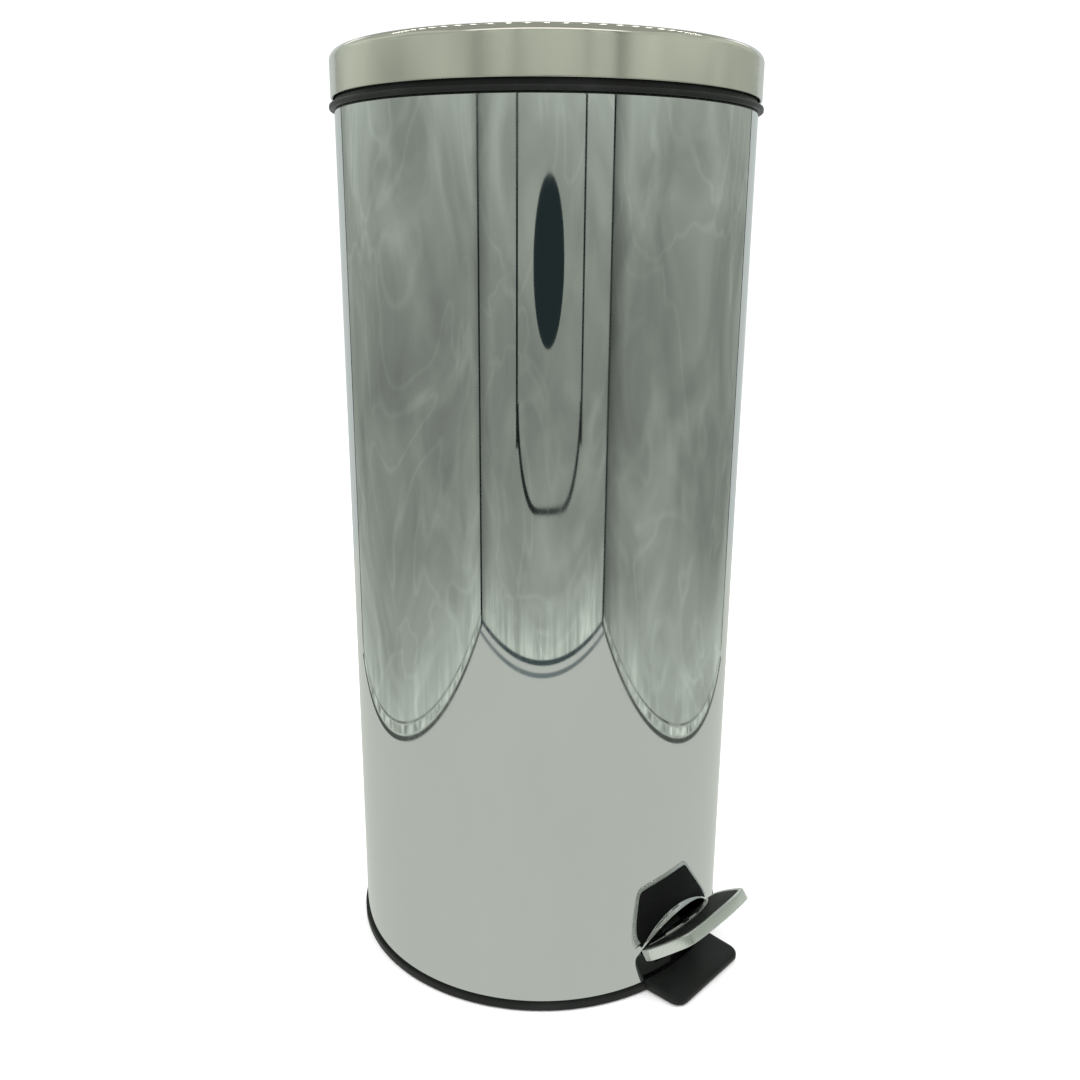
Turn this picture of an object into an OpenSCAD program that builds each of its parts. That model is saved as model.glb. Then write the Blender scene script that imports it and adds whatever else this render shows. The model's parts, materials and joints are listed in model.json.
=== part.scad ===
// Cylindrical steel pedal bin with a lift-out bucket, a push rod and a hinged lid.
// The pedal faces -Y, the lid hinge is at +Y, +Z is up.
// The origin is the centre of the base, on the floor.

/* [Body] */
// Outer radius of the steel body
body_r = 146; // [140:1:150]
// Thickness of the steel sheet of body and lid
sheet = 0.8; // [0.6:0.1:1.0]
// Height of the body's upper edge
body_top = 628; // [600:1:640]
// Half width of the arch that the pedal comes through
arch_half = 43.5; // [42:0.5:45]
// Height of the arch's top
arch_top = 52; // [51:0.5:53]
// Depth of the lip folded in around the arch
lip_depth = 6; // [4:0.5:8]

/* [Base] */
// Outer radius of the moulded base ring
base_r = 148; // [147.5:0.5:149]
// Height of the outer lip of the base ring
base_lip = 7; // [6:0.5:8]
// Half width of the foot plate in front
foot_plate_half = 41; // [38:1:42]
// How far the foot plate reaches from the bin's axis
foot_plate_reach = 174; // [165:1:176]
// Height of the foot plate at the body
foot_plate_high = 10; // [9:0.5:10]
// Height of the foot plate at its tip
foot_plate_low = 6.5; // [6:0.5:8]
// Radius of a rubber foot
foot_r = 7; // [5:0.5:8]

/* [Lid] */
// Outer radius of the lid
lid_r = 148.2; // [147:0.1:149]
// Height of the lid's lower edge
lid_edge = 633.5; // [632:0.5:636]
// Height of the lid's skirt, up to its rounded edge
skirt_h = 23.5; // [20:0.5:26]
// Radius of the lid's rounded edge
lid_round = 6; // [2:0.5:7]
// Rise of the crown above the rounded edge
crown_rise = 3; // [2:0.5:8]
// How far the lid opens, in degrees
lid_throw = 75; // [70:1:78]

/* [Pedal] */
// Slope of the pedal at rest, in degrees
pedal_tilt = 37.5; // [35:0.5:38]
// Half width of the pedal where it is widest
pedal_half = 49.5; // [47:0.5:50]
// Half width of the pedal behind its front corners
pedal_nose_half = 41; // [39:0.5:43]
// Length of the pedal along its slope
pedal_len = 50; // [48:0.5:50]
// Radius of the pedal's front corners
pedal_corner = 8; // [6:0.5:10]
// Height of the pedal's steel band
band_h = 8.5; // [8:0.5:9]
// How far the pedal turns, in degrees
pedal_throw = 9; // [8:0.5:9]

/* [Mechanism] */
// Distance from the bin's axis to the pedal's pivot
pivot_front = 30; // [28:1:32]
// Height of the pedal's pivot
pivot_z = 27; // [26:0.5:28]
// Distance from the bin's axis to the push rod
rod_y = 137; // [136.5:0.5:137.5]
// Radius of the push rod
rod_r = 2.5; // [2:0.1:2.5]
// Distance from the bin's axis to the lid's hinge pin
hinge_y = 155; // [154:0.5:156]
// Height of the lid's hinge pin
hinge_z = 628; // [627:0.5:628]
// Radius of the lid's hinge pin
hinge_pin_r = 2.5; // [2:0.1:2.5]
// Radius of the pedal's pivot pin
pivot_pin_r = 3; // [2.5:0.1:3]
// Radial play of a pin in a moving bore
play = 0.05; // [0.03:0.01:0.08]

/* [Bucket] */
// Outer radius of the bucket's wall at its mouth
bucket_top_r = 129; // [127:0.5:129]
// Outer radius of the bucket's wall at its floor
bucket_floor_r = 122; // [118:1:124]
// Height of the bucket's underside
bucket_z = 50; // [49:1:54]
// Thickness of the bucket's wall
bucket_wall = 1.6; // [1.4:0.1:2]
// Radius of the bail's wire
bail_r = 2.5; // [2:0.1:2.5]

/* [Hidden] */
$fn = 120;
eps = 0.01;
inner_r = body_r - sheet;

// Arch: a wide arc, with ways for sheet and lever below it
arch_r = 59;
arch_shoulder = 33;
arch_low = 20.3;
arch_low_half = 31;
lever_way = 14;
foot_gap = 3.5;
foot_gap_half = 41.5;

// Base
foot_h = 1;
groove_z = 4;
pan_r = 137;
pan_z = 2.5;
pan_top = 4.5;
pan_wall = 1.5;
pan_ring_in = 128;
pan_rib_r = 60;
pan_rib_top = 8;
floor_screw_ring_r = 132.5;
floor_screw_r = 1.5;
plate_corner = 9;
foot_ring_r = 138;
foot_d = foot_ring_r * sqrt(0.5);
front_pad = [40, 10];
front_pad_y = -166;

// Rim ring
bead_z = 626.5;
bead_r = 149.5;
bead_top = 630;
liner_top = 634.5;
liner_wall = 2;
liner_r = inner_r - liner_wall;
ledge_z = 589;
ledge_h = 3;
ledge_r = 129.8;
hinge_gap = 26;

// Bucket rim and bail
bucket_base_t = 2;
rim_z = 597;
rim_r = 132.5;
rim_drop = 7.4;
bail_z = rim_z + bail_r + 0.3;
bail_loop_r = 130.75;
lug_in = 121;
lug_out = 127;
lug_half = 7;
lug_r = 6.5;
grip_r = 5.5;
grip_sweep = 46;

// Pedal plane: u runs outward and up the slope, w is its upward normal
plane_r = 138.3;
plane_z = 37;
band_t = 1.3;
rim_w = 4;
rim_t = 1.2;
floor_w = -5;
floor_t = 1;
pad_top = -1;
pad_arc_r = 56.2;
pad_arc_u = -34.5;
tongue_apex_r = 140;
tongue_r = 76;
tongue_half = 32;
tongue_len = 26;
nose_crown = 4;
wide_u = 13;
tray_gap = 2.5;
clip_h = 0.6;
clip_t = 1.5;
tray_rivet_u = [25, 31.5];
tray_rivet_r = 2;
function plane_point(u, w) = [
    -(plane_r + u * cos(pedal_tilt) - w * sin(pedal_tilt)),
    plane_z + u * sin(pedal_tilt) + w * cos(pedal_tilt)];
function to_u(r) = (r - plane_r) / cos(pedal_tilt);

// Lever: the rear arm droops at rest by half of the pedal's throw
pivot_y = -pivot_front;
droop = pedal_throw / 2;
lever_half = 12;
lever_t = 1.5;
lever_end = 172.5;
arm_half_h = 4;
hub_half_h = 8;
function arm_point(d, h) = [
    pivot_y + d * cos(droop) + h * sin(droop),
    pivot_z - d * sin(droop) + h * cos(droop)];
neck_y = -126;
neck_top = 36.5;
neck_low = 26;
bed_u = 36;
bush_r = 5;
bush_half = 14;

// Pivot brackets
bracket_in = 15;
bracket_t = 1.8;
bracket_half = 9;
bracket_foot = 16;
bracket_rivet_x = 25;
bracket_rivet_y = 5;
bracket_rivet_r = 2;
bumper_y = 105;
bumper_r = 6;
bumper_peg_r = 3;

// Push rod: its lift is what the lever's end gives
rod_arm = rod_y - pivot_y;
rod_lift = 2 * rod_arm * tan(droop);
lever_top_at_rod = pivot_z - rod_arm * tan(droop) + arm_half_h / cos(droop);
rod_gap = 0.5;
rod_tip_r = 4.5;
rod_seat = 2;
rod_tip_z = lever_top_at_rod + rod_gap + rod_tip_r;

// Lid arm: the toe swings evenly to both sides of the pin's height
toe_r = 3;
toe_arm = rod_lift / (2 * sin(lid_throw / 2));
toe_y = hinge_y - toe_arm * cos(lid_throw / 2);
toe_z = hinge_z - toe_arm * sin(lid_throw / 2);
toe_gap = 0.8;
cap_top = toe_z - toe_r - toe_gap;
cap_r = 4.5;
cap_skirt = 1.5;
cap_roof = 2;
arm_half = 11;
arm_under = 1.2;
arm_over = 2.8;
barrel_r = 5.5;
lid_rivet_az = 2.7;
lid_rivet_z = lid_edge + 12;
lid_rivet_r = 1.5;
lid_ring_in = 143.6;
lid_ring_z = 637;
lid_bumper_r = 1.3;

// Hinge housing and carry handle
housing_half = 26;
housing_low = 588;
housing_back = 164;
ear_in = 12.5;
ear_out = 19;
ear_r = 6.5;
housing_screw_z = 596;
housing_screw_az = 7.5;
housing_screw_r = 2;
housing_screw_len = 10;
housing_screw_head_r = 3.5;
handle_z = 540;
handle_az = 11;
handle_r = 7;
handle_over = 6;
post_r = 5.5;
post_foot_r = 9;
handle_screw_r = 2.5;
handle_screw_head_r = 5;
// the handle stands out behind as far as the pedal does in front
handle_y = plane_r + pedal_len * cos(pedal_tilt) + band_h * sin(pedal_tilt) - handle_r;
guide_z = [120, 560];
guide_h = 12;
guide_rivet_az = 4.8;
guide_rivet_r = 1.5;

// ---------- shared shapes ----------

module tube(r_out, r_in, z0, z1) {
    translate([0, 0, z0]) difference() {
        cylinder(r = r_out, h = z1 - z0);
        translate([0, 0, -eps]) cylinder(r = r_in, h = z1 - z0 + 2 * eps);
    }
}

// A round bar along X between two places
module x_bar(r, x0, x1) {
    translate([x0, 0, 0]) rotate([0, 90, 0]) cylinder(r = r, h = x1 - x0);
}

// A side outline in (y, z), drawn out along X to both sides
module x_extrude(half) {
    rotate([90, 0, 90]) translate([0, 0, -half]) linear_extrude(2 * half) children();
}

// Things placed at azimuth az from the +Y side, pointing outward
module at_rear(az, r, z) {
    rotate([0, 0, -az]) translate([0, r, z]) rotate([-90, 0, 0]) children();
}

// How far from the axis a flat head of this radius sits against a round wall's inside
function seat_r(wall_r, head_r) = sqrt(pow(wall_r, 2) - pow(head_r, 2));

// Children as drawn, or mirrored when side is negative
module mirror_x(side) {
    if (side < 0) mirror([1, 0, 0]) children();
    else children();
}

// A dome-headed fastener along +Z, its seat at z = 0
module fastener(head_r, head_h, shank_r, shank_h) {
    cylinder(r = head_r, h = head_h);
    translate([0, 0, -shank_h]) cylinder(r = shank_r, h = shank_h + head_h / 2);
}

// ---------- body ----------

// The opening's outline: an arch with its ways for sheet and lever below it
module arch_outline() {
    intersection() {
        translate([0, arch_top - arch_r]) circle(r = arch_r);
        translate([-arch_half, arch_shoulder]) square([2 * arch_half, arch_top]);
    }
    // way for the pedal's sheet when it is pressed
    translate([-arch_low_half, arch_low])
        square([2 * arch_low_half, arch_shoulder - arch_low + 1]);
    // way for the lever
    translate([-lever_way, foot_plate_high])
        square([2 * lever_way, arch_low - foot_plate_high + 1]);
    // gap between the sheet and the foot plate
    translate([-foot_gap_half, foot_plate_high]) square([2 * foot_gap_half, foot_gap]);
}

module front_prism(y0, y1) {
    translate([0, y1, 0]) rotate([90, 0, 0]) linear_extrude(y1 - y0) children();
}

module arch_lip() {
    intersection() {
        front_prism(-body_r - 1, -body_r / 2) translate([0, arch_top - arch_r])
            difference() {
                circle(r = arch_r + sheet);
                circle(r = arch_r);
            }
        tube(body_r, body_r - lip_depth, arch_shoulder, arch_top + 2);
    }
}

module body_shell() {
    color("gainsboro") difference() {
        union() {
            difference() {
                tube(body_r, inner_r, groove_z, body_top);
                front_prism(-body_r - 1, -body_r / 2) arch_outline();
            }
            arch_lip();
        }
        translate([-hinge_gap / 2, body_r - 20, housing_low + 16])
            cube([hinge_gap, 40, body_top]);
        for (az = [-housing_screw_az, housing_screw_az])
            at_rear(az, body_r - 5, housing_screw_z) cylinder(r = housing_screw_r, h = 10);
        for (az = [-handle_az, handle_az])
            at_rear(az, body_r - 5, handle_z) cylinder(r = handle_screw_r, h = 10);
        for (z = guide_z, az = [-guide_rivet_az, guide_rivet_az])
            at_rear(az, body_r - 5, z) cylinder(r = guide_rivet_r, h = 10);
    }
}

module rim_ring() {
    color("#202224") difference() {
        rotate_extrude() union() {
            polygon([[liner_r, ledge_z - ledge_h], [inner_r, ledge_z - ledge_h],
                [inner_r, body_top], [body_r, body_top], [body_r, bead_z],
                [bead_r - 1, bead_z], [bead_r, bead_z + 1], [bead_r, bead_top - 1],
                [bead_r - 1, bead_top], [inner_r, bead_top], [inner_r, liner_top],
                [liner_r, liner_top]]);
            translate([ledge_r, ledge_z - ledge_h])
                square([liner_r - ledge_r + 1, ledge_h]);
        }
        translate([-hinge_gap / 2, liner_r - 3, housing_low + 14])
            cube([hinge_gap, 30, body_top]);
        translate([0, rod_y, ledge_z - 10]) cylinder(r = rod_r + 1, h = 20);
        for (az = [-housing_screw_az, housing_screw_az])
            at_rear(az, liner_r - 5, housing_screw_z) cylinder(r = housing_screw_r, h = 15);
    }
}

// ---------- base ----------

module foot_plate_outline() {
    wide = foot_plate_half - plate_corner;
    long = foot_plate_reach - plate_corner;
    translate([-foot_plate_half, -long]) square([2 * foot_plate_half, long - 60]);
    translate([-wide, -foot_plate_reach]) square([2 * wide, plate_corner + 5]);
    for (side = [-1, 1]) translate([side * wide, -long]) circle(r = plate_corner);
}

// The foot plate falls from the body to its tip
module foot_plate() {
    reach = foot_plate_reach - body_r;
    fall = atan((foot_plate_high - foot_plate_low) / reach);
    difference() {
        translate([0, 0, foot_h]) linear_extrude(foot_plate_high - foot_h)
            foot_plate_outline();
        translate([0, -body_r, foot_plate_high]) rotate([fall, 0, 0])
            translate([-100, -100, 0]) cube([200, 100, 30]);
    }
}

module floor_screw_places() {
    for (i = [0 : 5]) rotate([0, 0, 30 + 60 * i]) translate([floor_screw_ring_r, 0, 0])
        children();
}

module bracket_rivet_places() {
    for (x = [-bracket_rivet_x, bracket_rivet_x], y = [-bracket_rivet_y, bracket_rivet_y])
        translate([x, pivot_y + y, 0]) children();
}

module base_ring() {
    color("#202224") difference() {
        union() {
            rotate_extrude() polygon([[pan_ring_in, foot_h], [base_r - 0.5, foot_h],
                [base_r, foot_h + 0.5], [base_r, base_lip - 1], [base_r - 1, base_lip],
                [body_r, base_lip], [body_r, groove_z], [inner_r, groove_z],
                [inner_r, base_lip + 1], [inner_r - pan_wall, base_lip + 1],
                [inner_r - pan_wall, pan_top], [pan_r, pan_top], [pan_r, pan_z],
                [pan_ring_in, pan_z]]);
            difference() {
                foot_plate();
                cylinder(r = body_r, h = 40);
            }
            // sill of the arch, between the pan and the foot plate
            intersection() {
                tube(body_r, inner_r - pan_wall, groove_z, foot_plate_high);
                translate([-arch_half, -body_r - 1, 0]) cube([2 * arch_half, 60, 30]);
            }
        }
        // the sheet's lower edge stays in its groove beside the arch's foot
        difference() {
            tube(body_r, inner_r, groove_z, foot_plate_high + 1);
            front_prism(-body_r - 1, -body_r / 2)
                translate([-arch_half, foot_plate_high]) square([2 * arch_half, 20]);
        }
        floor_screw_places() cylinder(r = floor_screw_r, h = 10);
    }
}

module floor_pan() {
    color("#34373a") difference() {
        union() {
            translate([0, 0, pan_z]) cylinder(r = pan_r, h = pan_top - pan_z);
            tube(pan_r, pan_r - pan_wall, pan_top, base_lip + 1);
            tube(pan_rib_r, pan_rib_r - pan_wall, pan_top, pan_rib_top);
        }
        floor_screw_places() cylinder(r = floor_screw_r, h = 10);
        bracket_rivet_places() cylinder(r = bracket_rivet_r, h = 10);
        translate([0, bumper_y, 0]) cylinder(r = bumper_peg_r, h = 10);
    }
}

module floor_screws() {
    color("silver") floor_screw_places() translate([0, 0, pan_top])
        fastener(3, 1.6, floor_screw_r, pan_top - foot_h);
}

module foot(x, y) {
    color("#17181a") translate([x, y, 0]) cylinder(r = foot_r, h = foot_h);
}
module foot_front_left() foot(-foot_d, -foot_d);
module foot_front_right() foot(foot_d, -foot_d);
module foot_rear_left() foot(-foot_d, foot_d);
module foot_rear_right() foot(foot_d, foot_d);
module foot_plate_pad() {
    color("#17181a") translate([-front_pad.x / 2, front_pad_y, 0])
        cube([front_pad.x, front_pad.y, foot_h]);
}

// ---------- pedal pivot ----------

module pivot_bracket(side) {
    color("silver") difference() {
        mirror_x(side) translate([bracket_in, pivot_y, 0]) {
            translate([0, -bracket_half, pan_top])
                cube([bracket_t, 2 * bracket_half, pivot_z - pan_top]);
            translate([0, 0, pivot_z]) x_bar(bracket_half, 0, bracket_t);
            translate([0, -bracket_half, pan_top])
                cube([bracket_foot, 2 * bracket_half, bracket_t]);
        }
        translate([0, pivot_y, pivot_z]) x_bar(pivot_pin_r, -40, 40);
        bracket_rivet_places() cylinder(r = bracket_rivet_r, h = 15);
    }
}
module pivot_bracket_left() pivot_bracket(-1);
module pivot_bracket_right() pivot_bracket(1);

module bracket_rivets() {
    seat = pan_top + bracket_t;
    color("silver") bracket_rivet_places() translate([0, 0, seat])
        fastener(3.2, 1.4, bracket_rivet_r, seat - pan_z);
}

module pivot_pin() {
    color("silver") translate([0, pivot_y, pivot_z]) x_bar(pivot_pin_r, -20, 20);
}

module pivot_clips() {
    clip_in = bracket_in + bracket_t;
    color("dimgray") for (side = [-1, 1]) mirror_x(side) translate([0, pivot_y, pivot_z])
        difference() {
            x_bar(5.5, clip_in, clip_in + 1);
            x_bar(pivot_pin_r, clip_in - 1, clip_in + 2);
            translate([clip_in - 1, -2, -8]) cube([3, 4, 8]);
        }
}

module lever_bumper() {
    color("#17181a") translate([0, bumper_y, 0]) {
        translate([0, 0, pan_z]) cylinder(r = bumper_peg_r, h = pan_top - pan_z);
        translate([0, 0, pan_top]) cylinder(r = bumper_r, h = 6);
    }
}

// ---------- push rod guides ----------

module rod_guide(z) {
    color("#2a2d30") translate([0, 0, z - guide_h / 2]) difference() {
        intersection() {
            cylinder(r = inner_r, h = guide_h);
            union() {
                translate([-5.5, 132.5, 0]) cube([11, 20, guide_h]);
                translate([-17, 142, 0]) cube([34, 10, guide_h]);
            }
        }
        translate([0, rod_y, -1]) cylinder(r = rod_r + 0.08, h = guide_h + 2);
        for (az = [-guide_rivet_az, guide_rivet_az])
            at_rear(az, 135, guide_h / 2) cylinder(r = guide_rivet_r, h = 20);
    }
}
module rod_guide_lower() rod_guide(guide_z[0]);
module rod_guide_upper() rod_guide(guide_z[1]);

module guide_rivets() {
    color("silver") for (z = guide_z, az = [-guide_rivet_az, guide_rivet_az])
        at_rear(az, body_r, z) fastener(3, 1, guide_rivet_r, 4);
}

// ---------- lid hinge on the body ----------

module ear_outline() {
    translate([hinge_y, hinge_z]) circle(r = ear_r);
    polygon([[body_r - 6, housing_low], [housing_back - 4, housing_low],
        [housing_back - 2.5, housing_low + 4], [hinge_y + ear_r, hinge_z],
        [hinge_y - ear_r, hinge_z], [body_r - 6, hinge_z - 4]]);
}

module hinge_housing() {
    color("#202224") difference() {
        union() {
            for (side = [-1, 1]) mirror_x(side) translate([(ear_in + ear_out) / 2, 0, 0])
                x_extrude((ear_out - ear_in) / 2) ear_outline();
            // lower block and the wall behind the barrel
            x_extrude(housing_half) polygon([[body_r - 6, housing_low],
                [housing_back - 3, housing_low], [housing_back - 1, housing_low + 3],
                [housing_back - 1, housing_low + 12], [hinge_y, housing_low + 15],
                [body_r - 6, housing_low + 15]]);
            x_extrude(ear_out) polygon([[housing_back - 2.5, housing_low + 8],
                [housing_back - 1, housing_low + 8], [housing_back - 1, hinge_z - 2],
                [housing_back - 2.5, hinge_z - 2]]);
        }
        cylinder(r = body_r, h = 700);
        tube(bead_r + 0.3, body_r - 10, bead_z - 0.3, 700);
        translate([0, hinge_y, hinge_z]) x_bar(hinge_pin_r, -30, 30);
        for (az = [-housing_screw_az, housing_screw_az])
            at_rear(az, body_r - 5, housing_screw_z) cylinder(r = housing_screw_r, h = 13);
    }
}

module housing_screws() {
    seat = seat_r(liner_r, housing_screw_head_r);
    color("silver") for (az = [-housing_screw_az, housing_screw_az])
        rotate([0, 0, -az]) translate([0, seat, housing_screw_z]) rotate([90, 0, 0])
            fastener(housing_screw_head_r, 1.5, housing_screw_r, housing_screw_len);
}

module hinge_pin() {
    color("silver") translate([0, hinge_y, hinge_z]) x_bar(hinge_pin_r, -ear_out, ear_out);
}

// ---------- carry handle ----------

module carry_handle() {
    half = handle_y * tan(handle_az);
    color("#202224") difference() {
        union() {
            translate([0, handle_y, handle_z])
                x_bar(handle_r, -half - handle_over, half + handle_over);
            for (az = [-handle_az, handle_az]) {
                at_rear(az, 140, handle_z)
                    cylinder(r = post_r, h = handle_y / cos(handle_az) - 140);
                at_rear(az, 140, handle_z) cylinder(r = post_foot_r, h = 9);
            }
        }
        cylinder(r = body_r, h = 700);
        for (az = [-handle_az, handle_az])
            at_rear(az, 140, handle_z) cylinder(r = handle_screw_r, h = 20);
    }
}

module handle_screws() {
    seat = seat_r(inner_r, handle_screw_head_r);
    color("silver") for (az = [-handle_az, handle_az])
        rotate([0, 0, -az]) translate([0, seat, handle_z]) rotate([90, 0, 0])
            fastener(handle_screw_head_r, 1.8, handle_screw_r, 14);
}

// ---------- pedal ----------

// Half outline of the pedal in (side, u), from the widest point round to the nose
function nose_points(inset) = let (
    nose_r = (pow(pedal_nose_half, 2) + pow(nose_crown, 2)) / (2 * nose_crown),
    c = [pedal_nose_half - pedal_corner, pedal_len - nose_crown - pedal_corner],
    r = pedal_corner - inset)
    concat(
        [for (a = [15 : 15 : 75]) c + r * [cos(a), sin(a)]],
        [for (a = [pedal_nose_half - pedal_corner : -5 : 0])
            [a, pedal_len - nose_r + sqrt(pow(nose_r, 2) - pow(a, 2)) - inset]]);

function side_points(inset) = [
    [pedal_half - 4.5 - inset, 1 + inset],
    [pedal_half - 1.3 - inset, 5],
    [pedal_half - 0.2 - inset, 9],
    [pedal_half - inset, wide_u],
    [pedal_half - 1.2 - inset, wide_u + 7],
    [pedal_half - 4 - inset, wide_u + 17]];

module pedal_outline(inset) {
    half = concat(side_points(inset), nose_points(inset));
    other = [for (i = [len(half) - 1 : -1 : 0]) [-half[i][0], half[i][1]]];
    polygon(concat(half, other));
}

// The clear zone that keeps the pedal's corners off the round body
module body_clear_outline(gap) {
    // the cylinder seen along the pedal's normal is an ellipse of this half length
    scale_y = 1 / cos(pedal_tilt);
    n = 60;
    polygon([for (i = [0 : n]) let (a = 60 + 60 * i / n)
        [(body_r + gap) * cos(a), ((body_r + gap) * sin(a) - plane_r) * scale_y],
        [-60, -80], [60, -80]]);
}

// Children in (side, u) coordinates become a slab between two heights of the slope
module on_slope(w0, w1) {
    translate([0, -plane_r, plane_z]) rotate([-pedal_tilt, 0, 0])
        translate([0, 0, w0]) linear_extrude(w1 - w0) mirror([0, 1]) children();
}

module tongue_outline() {
    u_apex = to_u(tongue_apex_r);
    depth = tongue_r / cos(pedal_tilt);
    intersection() {
        translate([0, u_apex + depth]) circle(r = depth);
        translate([-tongue_half, u_apex]) square([2 * tongue_half, tongue_len]);
    }
}

// The disc whose edge parts the pad from the bare steel behind it
module rear_disc(d) {
    translate([0, pad_arc_u]) circle(r = pad_arc_r + d);
}

// The pedal's outline as far back as the body allows
module tray_outline(inset) {
    difference() {
        pedal_outline(inset);
        body_clear_outline(tray_gap);
    }
}

module pedal_tray() {
    color("silver") {
        // the sheet under the pad
        on_slope(floor_w, floor_w + floor_t) difference() {
            tray_outline(band_t / 2);
            rear_disc(-floor_t);
            for (u = tray_rivet_u) translate([0, u]) circle(r = tray_rivet_r);
        }
        // the step up to the bare sheet behind the pad
        on_slope(floor_w, 0) intersection() {
            tray_outline(band_t / 2);
            difference() {
                rear_disc(0);
                rear_disc(-floor_t);
            }
        }
        on_slope(-floor_t, 0) intersection() {
            union() {
                tray_outline(band_t / 2);
                tongue_outline();
            }
            rear_disc(-floor_t / 2);
        }
        // the outer band and the rim folded in at its top
        on_slope(-band_h, 0) difference() {
            tray_outline(0);
            pedal_outline(band_t);
            translate([-pedal_half + 8, -5]) square([2 * pedal_half - 16, 15]);
        }
        on_slope(-rim_t, 0) difference() {
            tray_outline(band_t / 2);
            pedal_outline(rim_w);
            translate([-pedal_half + 8, -5]) square([2 * pedal_half - 16, 15]);
        }
    }
}

module pedal_pad() {
    color("#242628") on_slope(floor_w + floor_t, pad_top) difference() {
        tray_outline(rim_w + 0.1);
        rear_disc(0.1);
    }
}

module pad_clips() {
    color("silver") on_slope(0, clip_h) intersection() {
        difference() {
            rear_disc(-0.1);
            rear_disc(-0.1 - clip_t);
        }
        union() {
            translate([-27, 0]) square([15, 40]);
            translate([-5, 0]) square([9, 40]);
        }
    }
}

module lever_outline() {
    polygon([arm_point(lever_end, arm_half_h), arm_point(lever_end, -arm_half_h),
        arm_point(22, -arm_half_h), [pivot_y + 9, pivot_z - hub_half_h],
        [pivot_y - 9, pivot_z - hub_half_h], [neck_y, neck_low],
        plane_point(3, floor_w - 6), plane_point(bed_u, floor_w - lever_t),
        plane_point(bed_u, floor_w), plane_point(-2, floor_w),
        [neck_y, neck_top], [pivot_y - 9, pivot_z + hub_half_h],
        [pivot_y + 9, pivot_z + hub_half_h], arm_point(22, arm_half_h)]);
}

module lever_hollow() {
    polygon([arm_point(lever_end - 1.5, arm_half_h - lever_t),
        arm_point(lever_end - 1.5, -20), [pivot_y, -20], [neck_y, 0],
        plane_point(bed_u + 5, floor_w - 40), plane_point(bed_u + 5, floor_w - lever_t),
        plane_point(-1.5, floor_w - lever_t), [neck_y, neck_top - lever_t],
        [pivot_y - 9, pivot_z + hub_half_h - lever_t],
        [pivot_y + 9, pivot_z + hub_half_h - lever_t], arm_point(22, arm_half_h - lever_t)]);
}

module pedal_lever() {
    color("silver") difference() {
        x_extrude(lever_half) lever_outline();
        x_extrude(lever_half - lever_t) lever_hollow();
        translate([0, pivot_y, pivot_z]) x_bar(bush_r, -20, 20);
        on_slope(floor_w - 5, floor_w + 1) for (u = tray_rivet_u)
            translate([0, u]) circle(r = tray_rivet_r);
    }
}

module tray_rivets() {
    color("silver") {
        on_slope(floor_w - lever_t, floor_w + floor_t)
            for (u = tray_rivet_u) translate([0, u]) circle(r = tray_rivet_r);
        on_slope(floor_w - lever_t - 1.2, floor_w - lever_t)
            for (u = tray_rivet_u) translate([0, u]) circle(r = tray_rivet_r + 1);
    }
}

module pivot_bush() {
    color("white") translate([0, pivot_y, pivot_z]) difference() {
        x_bar(bush_r, -bush_half, bush_half);
        x_bar(pivot_pin_r + play, -bush_half - 1, bush_half + 1);
    }
}

// ---------- push rod ----------

module push_rod() {
    color("silver") translate([0, rod_y, rod_tip_z + rod_seat])
        cylinder(r = rod_r, h = cap_top - cap_roof - rod_tip_z - rod_seat);
}

module rod_foot() {
    color("white") translate([0, rod_y, rod_tip_z]) difference() {
        union() {
            sphere(r = rod_tip_r);
            cylinder(r = rod_tip_r, h = 12);
        }
        translate([0, 0, rod_seat]) cylinder(r = rod_r, h = 20);
    }
}

module rod_cap() {
    color("white") translate([0, rod_y, cap_top - cap_r]) difference() {
        union() {
            sphere(r = cap_r);
            translate([0, 0, -cap_skirt]) cylinder(r = cap_r, h = cap_skirt);
        }
        translate([0, 0, -cap_r - 1]) cylinder(r = cap_r + 1, h = cap_r + 1 - cap_skirt);
        translate([0, 0, -cap_skirt - 1])
            cylinder(r = rod_r, h = cap_skirt + 1 + cap_r - cap_roof);
    }
}

// ---------- lid ----------

// Outline from the lid's axis to its skirt, drawn in by d
function lid_points(d) = let (
    top = lid_edge + skirt_h + lid_round,
    flat_r = lid_r - lid_round,
    dome_r = (pow(flat_r, 2) + pow(crown_rise, 2)) / (2 * crown_rise),
    n = 24)
    concat(
        [for (i = [0 : n]) let (x = flat_r * i / n)
            [x, top + crown_rise - dome_r + sqrt(pow(dome_r, 2) - pow(x, 2)) - d]],
        [for (a = [75 : -15 : 0]) [flat_r + (lid_round - d) * cos(a),
            lid_edge + skirt_h + (lid_round - d) * sin(a)]]);

module lid_shell() {
    color("lightgray") difference() {
        rotate_extrude() polygon(concat(lid_points(0),
            [[lid_r, lid_edge], [lid_r - sheet, lid_edge]],
            [for (i = [len(lid_points(sheet)) - 1 : -1 : 0]) lid_points(sheet)[i]]));
        lid_rivet_places(body_r - 5) cylinder(r = lid_rivet_r, h = 12);
    }
}

module lid_rivet_places(r) {
    for (az = [-lid_rivet_az, lid_rivet_az]) at_rear(az, r, lid_rivet_z) children();
}

module lid_inner_ring() {
    out = lid_r - sheet;
    top = lid_ring_z + 12;
    color("#202224") difference() {
        rotate_extrude() polygon([[lid_ring_in, lid_ring_z], [out, lid_ring_z], [out, top],
            [out - 1.5, top], [out - 1.5, lid_ring_z + 1.8], [lid_ring_in, lid_ring_z + 1.8]]);
        translate([-arm_half - 2, 120, lid_ring_z - 7]) cube([2 * arm_half + 4, 40, 40]);
    }
}

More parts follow.
